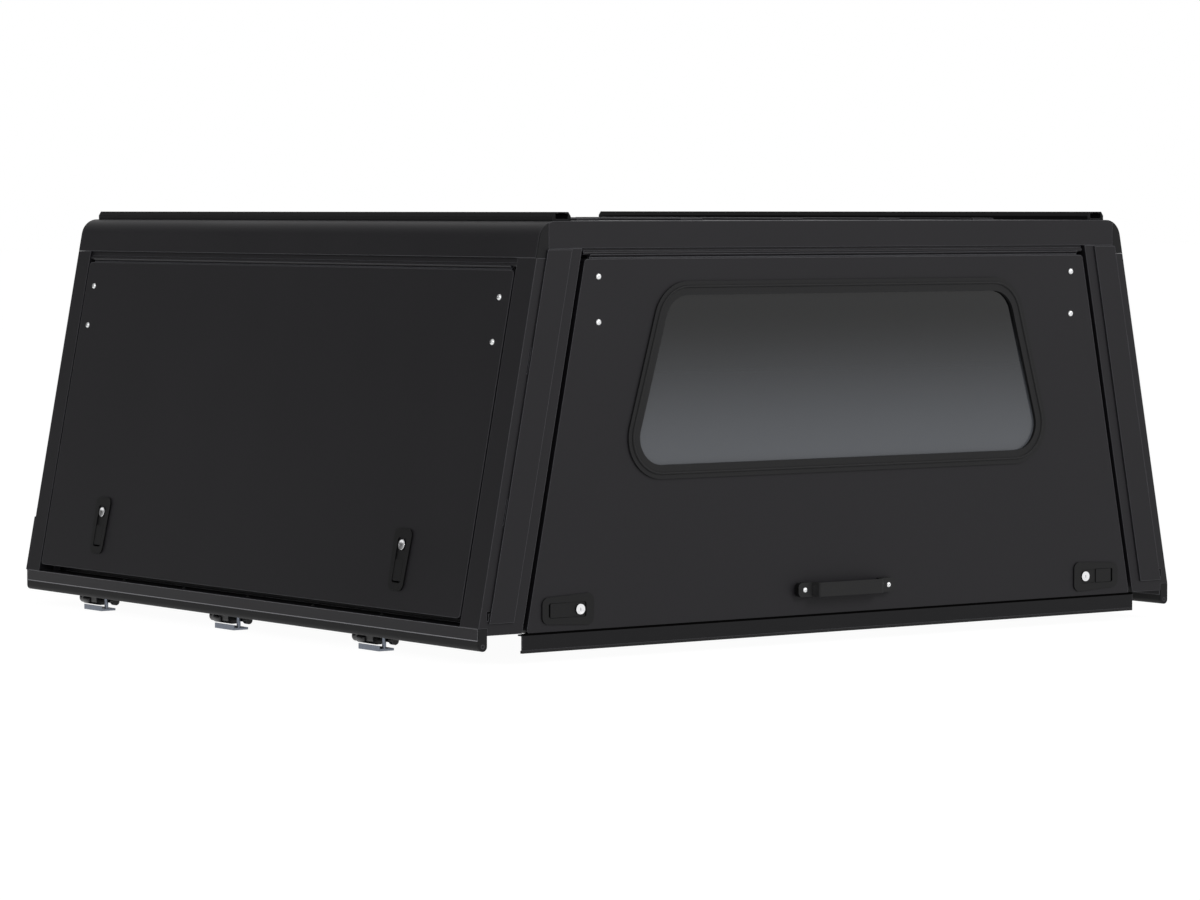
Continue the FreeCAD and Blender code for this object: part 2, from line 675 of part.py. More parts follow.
side_rail = hinge_rail("side_rail", SIDE_SECTION, SIDE_PIN, "2 * (%s + door_gap - fit)" % DOOR_HALF, gutter_seat)
keep(together("side_hinge_rails", [side_rail, mirrored("side_rail_left", side_rail)]))
REAR_DOOR_HEAD = "(%s - post_face - door_gap / cos(lean) - 3)" % wall("rear_head")
keep(hinge_rail("rear_hinge_rail", REAR_SECTION, REAR_PIN, "2 * %s" % REAR_DOOR_HEAD, header_seat))
pair("side_hinge_leaf", hinge_leaf("side_leaf", SIDE_SECTION, SIDE_PIN, "2 * (%s - hinge_short)" % DOOR_HALF))
keep(hinge_leaf("rear_hinge_leaf", REAR_SECTION, REAR_PIN, "2 * (%s - hinge_short)" % REAR_DOOR_HEAD))


# Latches: a bezel with a dish, a paddle in it and a lock barrel.
def latch_outline(inset):
    """The latch's tapered outline, its key at the origin and its wide end up, drawn in by an inset."""
    return [
        ("latch_across / 2 - (%s)" % inset, "latch_up - (%s)" % inset),
        ("(%s) - latch_across / 2" % inset, "latch_up - (%s)" % inset),
        ("(%s) - latch_narrow / 2" % inset, "(%s) - latch_down" % inset),
        ("latch_narrow / 2 - (%s)" % inset, "(%s) - latch_down" % inset),
    ]


def latch(name, place):
    made = body(name, place)
    cup = "latch_across / 12"
    pad(made, "0", "latch_proud", rounded(latch_outline("0"), "latch_round"))
    pad(made, "-latch_inside", "0", rounded(latch_outline(cup), "latch_round - " + cup))
    pocket(made, "latch_proud - latch_dish", "latch_proud",
           rounded(box("-paddle_half - 1", "paddle_half + 1", "paddle_foot - latch_down", "paddle_half"), "4"))
    pad(made, "0", "latch_proud", ("0", "0", "key_radius"))
    pad(made, "0", "latch_proud - latch_dish / 4",
        rounded(box("-paddle_half", "paddle_half", "paddle_foot - latch_down + finger_slot",
                    "paddle_foot - latch_down + paddle_length"), "2"))
    return pocket(made, "-latch_floor", "latch_proud - latch_dish",
                  box("1 - paddle_half", "paddle_half - 1", "paddle_foot - latch_down + 0.5",
                      "paddle_foot - latch_down + finger_slot - 0.5"))


def latch_hole(owner, corners):
    """An opening in a door for a latch's body."""
    return pocket(owner, "-door_depth - 5", "5", corners)


HOLE_IN = "latch_across / 12 - fit"


def placed_outline(x, y, turned):
    """The latch's hole outline at a place on a door, upright or with its key end inboard."""
    placed = []
    for across_text, up_text in latch_outline(HOLE_IN):
        if turned:
            placed.append(("%s - (%s)" % (x, up_text), "%s + (%s)" % (y, across_text)))
        else:
            placed.append(("%s + (%s)" % (x, across_text), "%s + (%s)" % (y, up_text)))
    return placed


SIDE_KEY = "side_latch_level / cos(lean)"
side_latches = []
for name, along in (("side_latch_rear", "-side_latch_along"), ("side_latch_front", "side_latch_along")):
    side_latches.append(latch(name, SIDE_FACE + " * " + spot(along, SIDE_KEY)))
pair("side_latches", together("side_latches", side_latches))
rear_latch = latch("rear_latch", REAR_FACE + " * " + spot("rear_latch_along", "rear_latch_level", yaw="90"))
keep(together("rear_latches", [rear_latch, mirrored("rear_latch_left", rear_latch)]))


# Side doors: a folded pan, open inside between its rim and two ribs.
side_door = body("side_door", SIDE_FACE)
DOOR_BACK = "-door_depth"
side_outline = box("-" + DOOR_HALF, DOOR_HALF, SIDE_FOOT, SIDE_HEAD)
pad(side_door, DOOR_BACK, "0", rounded(side_outline, "door_round"))
RIB = "door_rim / 2"
THIRD = "(%s - door_rim) / 3" % DOOR_HALF
pans = []
for low, high in (("-%s + door_rim" % DOOR_HALF, "-%s - %s" % (THIRD, RIB)),
                  ("-%s + %s" % (THIRD, RIB), "%s - %s" % (THIRD, RIB)),
                  ("%s + %s" % (THIRD, RIB), "%s - door_rim" % DOOR_HALF)):
    pans.append(box(low, high, SIDE_FOOT + " + door_rim", SIDE_HEAD + " - door_rim"))
pocket(side_door, DOOR_BACK, "-plate", *pans)
for along in ("-side_latch_along", "side_latch_along"):
    latch_hole(side_door, placed_outline(along, SIDE_KEY, False))
pair("side_door", side_door)


# Windows: glass behind a rubber, the same outline in the rear door and in the front wall.
def window_outline(out):
    """The clear glass's tapered outline, grown by a distance on every side."""
    head = "glass_half + (%s) * (1 / cos(glass_slope) - tan(glass_slope))" % out
    grown = "(%s) * (1 / cos(glass_slope) + tan(glass_slope))" % out
    foot = "glass_half + tan(glass_slope) * (glass_head - glass_foot) + " + grown
    return rounded([
        (head, "glass_head + (%s)" % out),
        ("-(%s)" % head, "glass_head + (%s)" % out),
        ("-(%s)" % foot, "glass_foot - (%s)" % out),
        (foot, "glass_foot - (%s)" % out),
    ], "glass_round + (%s)" % out)


def window(prefix, face_frame):
    rubber = body(prefix + "_rubber", face_frame)
    pad(rubber, "0", "rubber_proud", window_outline("rubber_width"))
    pad(rubber, "-plate", "0", window_outline("rubber_web"))
    pocket(rubber, "-plate - 1", "rubber_proud + 1", window_outline("0"))
    keep(rubber)
    glass = body(prefix + "_glass", face_frame)
    keep(pad(glass, "-plate - glass_depth", "-plate", window_outline("rubber_web - fit")))


def window_hole(owner, low):
    """The opening that a window's rubber fits, with its corners."""
    return pocket(owner, low, "5", window_outline("rubber_web + fit"))


def door_half(level):
    """Rear door: half its width at a level, parallel to the walls."""
    return "(%s - post_face - door_gap / cos(lean) - 4)" % wall(level)


rear_door = body("rear_door", REAR_FACE)
rear_outline = [
    (door_half("-rear_foot"), "-rear_foot"),
    (door_half("rear_head"), "rear_head"),
    ("-" + door_half("rear_head"), "rear_head"),
    ("-" + door_half("-rear_foot"), "-rear_foot"),
]
pad(rear_door, DOOR_BACK, "0", rounded(rear_outline, "door_round"))
PAN_FOOT = "door_rim - rear_foot"
PAN_HEAD = "rear_head - door_rim"
pocket(rear_door, DOOR_BACK, "-plate", [
    (door_half(PAN_FOOT) + " - door_rim", PAN_FOOT),
    (door_half(PAN_HEAD) + " - door_rim", PAN_HEAD),
    ("door_rim - " + door_half(PAN_HEAD), PAN_HEAD),
    ("door_rim - " + door_half(PAN_FOOT), PAN_FOOT),
])
pad(rear_door, DOOR_BACK, "-plate", window_outline("rubber_web + fit + door_rim / 2"))
window_hole(rear_door, "-door_depth - 5")
for sign in ("", "-"):
    hole = placed_outline("rear_latch_along", "rear_latch_level", True)
    latch_hole(rear_door, [("%s(%s)" % (sign, x), y) for x, y in hole])
keep(rear_door)
window("rear_window", REAR_FACE)

handle = body("handle_bar", spot("0", REAR, "stand_level + handle_level", roll="180"))
GRIP = "handle_reach - handle_seat / 2"
bar(handle, "handle_height", [
    ("-handle_length / 2", "0"),
    ("handle_foot - handle_length / 2", "0"),
    ("handle_foot * 1.3 - handle_length / 2", GRIP),
    ("handle_length / 2 - handle_foot * 1.3", GRIP),
    ("handle_length / 2 - handle_foot", "0"),
    ("handle_length / 2", "0"),
    ("handle_length / 2", "handle_seat"),
    ("handle_length / 2 - handle_foot", "handle_seat"),
    ("handle_length / 2 - handle_foot * 1.2", "handle_reach", "handle_foot / 8"),
    ("handle_foot * 1.2 - handle_length / 2", "handle_reach", "handle_foot / 8"),
    ("handle_foot - handle_length / 2", "handle_seat"),
    ("-handle_length / 2", "handle_seat"),
])
handle_face = body("handle_face", REAR_FACE)
pad(handle_face, "0", "handle_reach", rounded(box(
    "-handle_length / 2", "handle_length / 2", "handle_level - handle_height / 2",
    "handle_level + handle_height / 2"), "handle_height / 3"))
handle = common("rear_handle", handle, handle_face)
keep(handle)

lip = body("rear_lip", REAR_SECTION)
LIP_TOP = "-rear_foot - fit"
bar(lip, "2 * lip_half", [
    ("0", LIP_TOP),
    ("-lip_flange", LIP_TOP),
    ("-lip_flange", LIP_TOP + " - plate"),
    ("-plate", LIP_TOP + " - plate"),
    ("-plate", "-lip_drop"),
    ("0", "-lip_drop"),
])
keep(lip)
lip_seal = body("rear_lip_seal", REAR_SECTION)
bar(lip_seal, "2 * lip_half", box("-plate * 2", "0", "-lip_drop - lip_seal", "-lip_drop"))
keep(lip_seal)


# Front wall: a sheet between the posts' rebates, its window and the foam strip that meets the cab.
front = body("front_panel", FRONT_FACE)
FRONT_HEAD = "header_foot - fit"


def front_half(level):
    return "(%s - post_face - fit)" % wall(level)


pad(front, "-jamb", "0", [
    (front_half("-post_foot"), "-post_foot"),
    (front_half(FRONT_HEAD), FRONT_HEAD),
    ("-" + front_half(FRONT_HEAD), FRONT_HEAD),
    ("-" + front_half("-post_foot"), "-post_foot"),
])
pocket(front, "-jamb", "-plate", [
    (front_half("-post_foot + plate") + " - plate", "-post_foot + plate"),
    (front_half(FRONT_HEAD + " - plate") + " - plate", FRONT_HEAD + " - plate"),
    ("plate - " + front_half(FRONT_HEAD + " - plate"), FRONT_HEAD + " - plate"),
    ("plate - " + front_half("-post_foot + plate"), "-post_foot + plate"),
])
window_hole(front, "-jamb")
keep(front)
window("front_window", FRONT_FACE)
foam = body("front_seal", FRONT_FACE)
pad(foam, "0", "front_seal", [
    (wall("0"), "0"),
    (wall("front_seal_level"), "front_seal_level"),
    ("-" + wall("front_seal_level"), "front_seal_level"),
    ("-" + wall("0"), "0"),
])
keep(foam)


# Seals in the rebates behind the doors' edges.
seals = []
for name, side in (("side_seal_rear", -1), ("side_seal_front", 1)):
    strip = body(name, SIDE_FACE)
    pad(strip, "fit - jamb", "-door_depth - fit",
        box("%d * (%s - door_rim / 3)" % (side, DOOR_HALF), "%d * (%s - door_rim / 12)" % (side, DOOR_HALF),
            SIDE_FOOT + " + door_rim / 2", SIDE_HEAD + " - door_rim / 2"))
    seals.append(strip)
rear_seal = body("rear_seal", REAR_FACE)
pad(rear_seal, "fit - jamb", "-door_depth - fit", [
    (door_half("0") + " - door_rim / 12", "0"),
    (door_half(PAN_HEAD) + " - door_rim / 12", PAN_HEAD),
    (door_half(PAN_HEAD) + " - door_rim / 3", PAN_HEAD),
    (door_half("0") + " - door_rim / 3", "0"),
])
seals.append(rear_seal)
right_seals = together("right_seals", seals)
keep(together("door_seals", [right_seals, mirrored("left_seals", right_seals)]))


# Gas struts: a cylinder on the frame's pin, its rod towards the door's pin.
STRUT_TILT = "atan((strut_foot_in - strut_pin_in) / (strut_foot_down - strut_pin_down)) / 1 deg"
STRUT_LENGTH = "sqrt((strut_foot_in - strut_pin_in) ^ 2 + (strut_foot_down - strut_pin_down) ^ 2)"
TUBE_START = "eye_radius * 2.2"
TUBE_END = "(%s - strut_radius * 5)" % STRUT_LENGTH
ROD_START = "(%s / 2)" % STRUT_LENGTH


def strut(name, face_frame, along, pin):
    """Cylinder and rod of one strut, along the line from its frame pin to its door pin."""
    foot = face_frame + " * " + spot(along, pin + " - strut_foot_down", "-pin_in - strut_foot_in",
                                     roll=STRUT_TILT + " - 90")
    tube = body(name + "_tube", foot)
    pad(tube, TUBE_START, TUBE_END, ("0", "0", "strut_radius"))
    pad(tube, "eye_radius * 0.8", TUBE_START, ("0", "0", "rod_radius * 1.4"))
    pocket(tube, ROD_START + " - 10", TUBE_END, ("0", "0", "rod_radius + fit"))
    eye = cylinder(name + "_eye", foot + " * " + spot("-eye_width / 2", pitch="90"), "eye_radius", "eye_width")
    hole = cylinder(name + "_hole", foot + " * " + spot("-eye_width", pitch="90"), "rod_radius + fit", "eye_width * 2")
    rod = body(name + "_bar", foot)
    pad(rod, ROD_START, STRUT_LENGTH + " - eye_radius * 0.8", ("0", "0", "rod_radius"))
    pad(rod, STRUT_LENGTH + " - eye_radius * 2.4", STRUT_LENGTH + " - eye_radius * 0.8", ("0", "0", "rod_radius * 1.2"))
    far = foot + " * " + spot(z=STRUT_LENGTH)
    far_eye = cylinder(name + "_far_eye", far + " * " + spot("-eye_width / 2", pitch="90"), "eye_radius", "eye_width")
    far_hole = cylinder(name + "_far_hole", far + " * " + spot("-eye_width", pitch="90"), "rod_radius + fit",
                        "eye_width * 2")
    return (cut(name + "_cylinder", fused(name + "_closed", [tube, eye]), hole),
            cut(name + "_rod", fused(name + "_solid", [rod, far_eye]), far_hole))


def upstand(name, face_frame, along, level, back, base_back):
    """A bracket's upright plate that carries a pin: from its base's back face past the pin."""
    plate_body = body(name, face_frame)
    return pad(plate_body, back + " - eye_radius * 1.5", base_back,
               box(along, along + " + bracket", level + " - eye_radius * 1.5", level + " + eye_radius * 1.5"))


def door_bracket(name, face_frame, along, bolts, level):
    """On the door: a base plate under its bolts, an upstand and a pin that ends beside the rod's eye."""
    base = body(name + "_base", face_frame)
    pad(base, DOOR_BACK + " - bracket", DOOR_BACK,
        box(bolts + " - bracket_across / 2", bolts + " + bracket_across / 2",
            level + " - bracket_tall / 2", level + " + bracket_tall / 2"))
    stand_at = along + " + eye_width / 2 + fit + 1"
    stand = upstand(name + "_stand", face_frame, stand_at, level, "-pin_in - strut_pin_in", DOOR_BACK)
    pin = cylinder(name + "_pin", face_frame + " * " + spot(along + " + eye_width / 2 + fit", level,
                                                            "-pin_in - strut_pin_in", pitch="90"), "rod_radius", "2")
    return fused(name, [base, stand, pin])


def frame_bracket(name, face_frame, along, edge, level):
    """On a post's rebate: a base plate, a shelf, an upstand and a pin through the cylinder's eye."""
    base = body(name + "_base", face_frame)
    pad(base, "-jamb - plate - bracket", "-jamb - plate",
        box(edge + " + bracket", edge + " + rebate", level + " - bracket_across", level + " + bracket_across"))
    stand_at = along + " + eye_width / 2 + 2"
    stand = upstand(name + "_stand", face_frame, stand_at, level, "-pin_in - strut_foot_in", "-jamb - plate")
    shelf = body(name + "_shelf", face_frame)
    pad(shelf, "-pin_in - strut_foot_in - eye_radius", "-jamb - plate",
        box(stand_at, edge + " + rebate", level + " - eye_radius * 1.5 - bracket", level + " - eye_radius * 1.5"))
    pin = cylinder(name + "_pin", face_frame + " * " + spot(along + " - eye_width / 2 - 2", level,
                                                            "-pin_in - strut_foot_in", pitch="90"),
                   "rod_radius", "eye_width + 5")
    return fused(name, [base, stand, shelf, pin])


side_struts = strut("side_strut", SIDE_FACE, "strut_along", SIDE_PIN)
SIDE_EDGE = "(%s + door_gap - rebate)" % DOOR_HALF
SIDE_LEVEL = "(%s - strut_foot_down)" % SIDE_PIN
side_anchor = frame_bracket("side_anchor", SIDE_FACE, "strut_along", SIDE_EDGE, SIDE_LEVEL)
side_bracket = door_bracket("side_bracket", SIDE_FACE, "strut_along", "side_bolts_along",
                            "(%s - strut_pin_down)" % SIDE_PIN)


def both_ends(label, source):
    """A side door's front piece with its image at the rear end of the door."""
    image = doc.addObject("Part::Mirroring", label + "_image")
    image.Source = source
    image.Normal = VECTOR(0, 1, 0)
    image.setExpression("Base.y", bound(REAR + " + " + DOOR_MIDDLE))
    return together(label, [source, image])


anchors_right = both_ends("side_anchors", side_anchor)
pair("side_strut_brackets", both_ends("side_brackets", side_bracket))
pair("side_strut_cylinders", both_ends("side_cylinders", side_struts[0]))
pair("side_strut_rods", both_ends("side_rods", side_struts[1]))

rear_struts = strut("rear_strut", REAR_FACE, "rear_strut_along", REAR_PIN)
REAR_LEVEL = "(%s - strut_foot_down)" % REAR_PIN
REAR_EDGE = "(%s - post_face - rebate)" % wall(REAR_LEVEL)
rear_anchor = frame_bracket("rear_anchor", REAR_FACE, "rear_strut_along", REAR_EDGE, REAR_LEVEL)
rear_bracket = door_bracket("rear_bracket", REAR_FACE, "rear_strut_along", "rear_bolts_along",
                            "(%s - strut_pin_down)" % REAR_PIN)
keep(together("rear_strut_brackets", [rear_bracket, mirrored("rear_bracket_left", rear_bracket)]))
keep(together("rear_strut_cylinders", [rear_struts[0], mirrored("rear_cylinder_left", rear_struts[0])]))
keep(together("rear_strut_rods", [rear_struts[1], mirrored("rear_rod_left", rear_struts[1])]))
keep(together("strut_anchors", [anchors_right, mirrored("side_anchors_left", anchors_right), rear_anchor,
                                mirrored("rear_anchor_left", rear_anchor)]))


# Clamps that hold the canopy on the bed's rails. A plated rod hangs from the rail's foot flange and carries a
# jaw with a folded outer edge. A black block bears on the bed's lip from above; its bolt runs beside the rod,
# from a head behind it to a round knob in front.
JAW_FOOT = "rail_flange - stand_level"
blocks = []
jaws = []
for index in range(3):
    along = "%s + clamp_first + %d * clamp_step" % (REAR, index)
    place = spot(HALF + " - clamp_in", along, "stand_level - rail_flange")
    bolt_line = place + " * " + spot("-clamp_bolt_in", "-clamp_behind", "-clamp_bolt_drop", roll="-90")
    bolt = cylinder("clamp_bolt_%d" % index, bolt_line, "clamp_bolt", "clamp_behind + clamp_ahead")
    head = cylinder("clamp_head_%d" % index, bolt_line, "clamp_head", "clamp_head * 1.5")
    knob = cylinder("clamp_knob_%d" % index, place + " * " + spot("-clamp_bolt_in", "clamp_ahead - clamp_knob * 2",
                                                                  "-clamp_bolt_drop", roll="-90"),
                    "clamp_knob", "clamp_knob * 2")
    block = body("clamp_block_%d" % index, place + " * " + spot(roll="90"))
    pad(block, "-clamp_block_far", "-clamp_block_near", [
        ("clamp_block_half", "0"),
        ("clamp_block_half", "-clamp_block_drop", "clamp_block_half * 0.7"),
        ("-clamp_block_half", "-clamp_block_drop", "clamp_block_half * 0.7"),
        ("-clamp_block_half", "0"),
    ])
    blocks.append(fused("clamp_bracket_%d" % index, [bolt, head, knob, block]))
    rod = cylinder("clamp_rod_%d" % index, place + " * " + spot(z=JAW_FOOT), "clamp_rod", "-(%s)" % JAW_FOOT)
    plate = body("clamp_plate_%d" % index, place)
    pad(plate, JAW_FOOT, JAW_FOOT + " + clamp_jaw",
        box("-clamp_jaw_half", "clamp_jaw_half", "-clamp_rod * 2", "clamp_jaw_ahead"))
    pad(plate, JAW_FOOT + " + clamp_jaw", JAW_FOOT + " + clamp_jaw_edge",
        box("clamp_jaw_half - clamp_jaw / 2", "clamp_jaw_half", "-clamp_rod * 2", "clamp_jaw_ahead"))
    jaws.append(fused("clamp_jaw_%d" % index, [rod, plate]))
right_brackets = together("right_brackets", blocks)
right_jaws = together("right_jaws", jaws)
keep(together("clamp_brackets", [right_brackets, mirrored("left_brackets", right_brackets)]))
keep(together("clamp_jaws", [right_jaws, mirrored("left_jaws", right_jaws)]))


doc.recompute()
for made in doc.Objects:
    if "Invalid" in made.State or "Error" in made.State:
        raise ValueError("%s is %s" % (made.Label, made.State))
for made in nodes:
    if made.Shape.isNull() or not made.Shape.isValid() or not made.Shape.Solids:
        raise ValueError("%s has no sound solid" % made.Label)

os.makedirs("parts", exist_ok=True)
for made in nodes:
    made.Shape.exportStep("parts/%s.step" % made.Label)
print(len(nodes), "nodes")
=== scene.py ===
"""Dresses the truck canopy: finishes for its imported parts, and the small hardware that the parts carry."""
import json
import math

import bmesh
import bpy
from mathutils import Matrix, Vector


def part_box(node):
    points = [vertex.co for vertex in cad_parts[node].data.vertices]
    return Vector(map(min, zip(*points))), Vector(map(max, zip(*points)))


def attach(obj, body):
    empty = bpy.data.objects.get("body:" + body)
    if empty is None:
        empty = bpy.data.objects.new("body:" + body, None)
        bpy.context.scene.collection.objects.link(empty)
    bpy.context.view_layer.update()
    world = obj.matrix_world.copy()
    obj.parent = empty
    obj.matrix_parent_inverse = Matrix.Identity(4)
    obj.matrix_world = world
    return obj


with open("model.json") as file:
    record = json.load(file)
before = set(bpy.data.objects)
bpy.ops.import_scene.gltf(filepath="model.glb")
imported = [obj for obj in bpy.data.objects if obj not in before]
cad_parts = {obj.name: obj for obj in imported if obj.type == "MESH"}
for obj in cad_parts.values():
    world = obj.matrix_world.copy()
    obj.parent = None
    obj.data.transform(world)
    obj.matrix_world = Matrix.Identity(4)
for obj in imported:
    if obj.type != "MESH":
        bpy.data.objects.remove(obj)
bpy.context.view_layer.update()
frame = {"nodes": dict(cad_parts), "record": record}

# Sizes of the canopy in metres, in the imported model's frame.
LEAN = math.radians(10.95)
FOOT_HALF_WIDTH = 0.750
FOOT_LEVEL = 0.062
REAR_FACE = -0.73075
FRONT_FACE = 0.75075
DOOR_MIDDLE = 0.01425


# Places on the faces. Each turns a flat drawing, x to the right, y up and z outwards, onto its face.
def on_rear(x, up, out=0.0):
    """A place on the rear door's face, from its middle and the walls' foot."""
    turn = Matrix(((1, 0, 0), (0, 0, -1), (0, 1, 0))).to_4x4()
    return Matrix.Translation((x, REAR_FACE - out, FOOT_LEVEL + up)) @ turn


def on_side(along, up, out=0.0):
    """A place on the right wall: along is forwards from the doors' middle, up follows the leaning wall."""
    sine = math.sin(LEAN)
    cosine = math.cos(LEAN)
    turn = Matrix(((0, -sine, cosine), (1, 0, 0), (0, cosine, sine))).to_4x4()
    foot = Matrix.Translation((FOOT_HALF_WIDTH, DOOR_MIDDLE, FOOT_LEVEL))
    return foot @ turn @ Matrix.Translation((along, up, out))


# Materials.
def linear(colour):
    """An sRGB hex colour as a linear one with full alpha."""
    parts = [int(colour[i:i + 2], 16) / 255 for i in (1, 3, 5)]
    return [p / 12.92 if p <= 0.04045 else ((p + 0.055) / 1.055) ** 2.4 for p in parts] + [1.0]


def add(tree, kind, inputs=None, **settings):
    """Adds a node, with settings, and inputs that are each a number, a colour or another node's output."""
    made = tree.nodes.new(kind)
    for name, value in settings.items():
        setattr(made, name, value)
    for name, value in (inputs or {}).items():
        if isinstance(value, bpy.types.NodeSocket):
            tree.links.new(value, made.inputs[name])
        else:
            made.inputs[name].default_value = value
    return made


def material(name):
    """A new material with an empty tree and its output."""
    made = bpy.data.materials.new(name)
    made.use_nodes = True
    made.node_tree.nodes.clear()
    output = add(made.node_tree, "ShaderNodeOutputMaterial")
    return made, made.node_tree, output


def millimetres(tree, size):
    """Object coordinates scaled so that one pattern cell is that many millimetres."""
    place = add(tree, "ShaderNodeTexCoord")
    return add(tree, "ShaderNodeMapping", {"Vector": place.outputs["Object"], "Scale": (1000 / size,) * 3})


EDGE_RADIUS = 0.0016
FLAT_TURN = 0.995
EDGE_TURN = 0.955
CLOUD_SIZE = 260
# Heights between which the glass's painted reflection grades.
REFLECTION_GRADIENT_FOOT = 0.30
REFLECTION_GRADIENT_HEAD = 0.57


def noise(tree, size, detail, roughness=0.5):
    """A noise whose cells are that many millimetres."""
    return add(tree, "ShaderNodeTexNoise", {"Vector": millimetres(tree, size).outputs[0], "Scale": 1.0,
                                            "Detail": detail, "Roughness": roughness})


def spread(tree, pattern, low, high):
    """A value from low to high that follows a noise."""
    return add(tree, "ShaderNodeMapRange", {"Value": pattern.outputs["Fac"], "To Min": low, "To Max": high})


def surface(tree, output, inputs):
    """Ends a tree with a principled shader."""
    shader = add(tree, "ShaderNodeBsdfPrincipled", inputs)
    tree.links.new(shader.outputs[0], output.inputs[0])


def coated(name, colour, worn, roughness, grain, depth, specular, painted_edge_highlight_colour="#4a4a4e"):
    """Powder coat: a fine pebbled skin with slow changes of tone and gloss, and a painted highlight that makes
    it lighter along its edges.
    """
    made, tree, output = material(name)
    pebble = noise(tree, grain, 3.0, 0.55)
    cloud = noise(tree, CLOUD_SIZE, 2.0)
    tone = add(tree, "ShaderNodeMix",
               {"Factor": cloud.outputs["Fac"], "A": linear(colour), "B": linear(worn)}, data_type="RGBA")
    gloss = spread(tree, cloud, roughness - 0.05, roughness + 0.06)
    edge = add(tree, "ShaderNodeBevel", {"Radius": EDGE_RADIUS}, samples=6)
    face = add(tree, "ShaderNodeNewGeometry")
    turn = add(tree, "ShaderNodeVectorMath", {0: edge.outputs["Normal"], 1: face.outputs["Normal"]},
               operation="DOT_PRODUCT")
    # Painted highlight: where the bevelled normal turns away from the face normal, the colour mixes towards
    # the lighter edge colour.
    painted_edge_highlight = add(tree, "ShaderNodeMapRange",
                {"Value": turn.outputs["Value"], "From Min": FLAT_TURN, "From Max": EDGE_TURN})
    skin = add(tree, "ShaderNodeMix",
               {"Factor": painted_edge_highlight.outputs["Result"], "A": tone.outputs["Result"], "B": linear(painted_edge_highlight_colour)},
               data_type="RGBA")
    bump = add(tree, "ShaderNodeBump", {"Height": pebble.outputs["Fac"], "Distance": depth, "Strength": 0.5,
                                        "Normal": edge.outputs["Normal"]})
    surface(tree, output, {"Base Color": skin.outputs["Result"], "Roughness": gloss.outputs["Result"],
                           "Specular IOR Level": specular, "Normal": bump.outputs["Normal"]})
    return made


def moulded(name, colour, roughness, grain, depth, specular=0.4):
    """Rubber or plastic from a mould: even colour and a soft grain."""
    made, tree, output = material(name)
    pattern = noise(tree, grain, 2.0)
    gloss = spread(tree, pattern, roughness - 0.04, roughness + 0.05)
    bump = add(tree, "ShaderNodeBump", {"Height": pattern.outputs["Fac"], "Distance": depth, "Strength": 0.4})
    surface(tree, output, {"Base Color": linear(colour), "Roughness": gloss.outputs["Result"],
                           "Specular IOR Level": specular, "Normal": bump.outputs["Normal"]})
    return made


def metal(name, colour, roughness, grain, depth):
    """Bare or plated metal with faint tool marks."""
    made, tree, output = material(name)
    marks = noise(tree, grain, 3.0)
    gloss = spread(tree, marks, roughness * 0.7, roughness * 1.4)
    bump = add(tree, "ShaderNodeBump", {"Height": marks.outputs["Fac"], "Distance": depth, "Strength": 0.3})
    surface(tree, output, {"Base Color": linear(colour), "Metallic": 1.0,
                           "Roughness": gloss.outputs["Result"], "Normal": bump.outputs["Normal"]})
    return made


def tinted(name, top, bottom):
    """Tempered privacy glass: dark grey, with a painted reflection that runs from deep at the upper edge to
    lighter at the lower edge.
    """
    made, tree, output = material(name)
    place = add(tree, "ShaderNodeTexCoord")
    height = add(tree, "ShaderNodeSeparateXYZ", {"Vector": place.outputs["Object"]})
    rise = add(tree, "ShaderNodeMapRange",
               {"Value": height.outputs["Z"], "From Min": REFLECTION_GRADIENT_FOOT, "From Max": REFLECTION_GRADIENT_HEAD},
               interpolation_type="SMOOTHSTEP")
    # Painted reflection: the base colour grades with height from the lighter lower colour to the dark upper
    # colour.
    tint_and_painted_reflection = add(tree, "ShaderNodeMix",
               {"Factor": rise.outputs["Result"], "A": linear(bottom), "B": linear(top)}, data_type="RGBA")
    surface(tree, output, {"Base Color": tint_and_painted_reflection.outputs["Result"], "Roughness": 0.06, "IOR": 1.45,
                           "Transmission Weight": 0.25})
    return made


FINISHES = {
    "coated_sheet": coated("powder_coated_sheet", "#161518", "#1a191c", 0.5, 1.6, 0.00008, 0.2),
    "coated_profile": coated("powder_coated_profile", "#161518", "#1b1a1d", 0.45, 1.2, 0.00005, 0.2),
    "tinted_glass": tinted("privacy_glass", "#0c0d0e", "#585b60"),
    "rubber": moulded("pressed_rubber", "#161617", 0.6, 3.0, 0.00006, 0.2),
    "foam": moulded("closed_cell_foam", "#0c0c0d", 0.85, 1.8, 0.0002, 0.2),
    "latch": moulded("glass_filled_nylon", "#0b0b0c", 0.45, 1.5, 0.00004, 0.2),
    "handle": moulded("moulded_handle_plastic", "#0e0e0f", 0.42, 1.5, 0.00004, 0.25),
    "zinc": metal("zinc_plated_steel", "#7f8590", 0.4, 6.0, 0.00003),
    "strut_tube": coated("gloss_painted_tube", "#0e0e0f", "#121213", 0.25, 4.0, 0.00001, 0.5),
    "strut_rod": metal("hard_chromed_rod", "#a2a5ab", 0.16, 2.0, 0.000005),
    "bracket": coated("black_bracket_paint", "#0c0c0d", "#101011", 0.35, 2.0, 0.00003, 0.4),
    "cap": moulded("moulded_end_cap", "#08080a", 0.6, 1.5, 0.00005, 0.2),
}
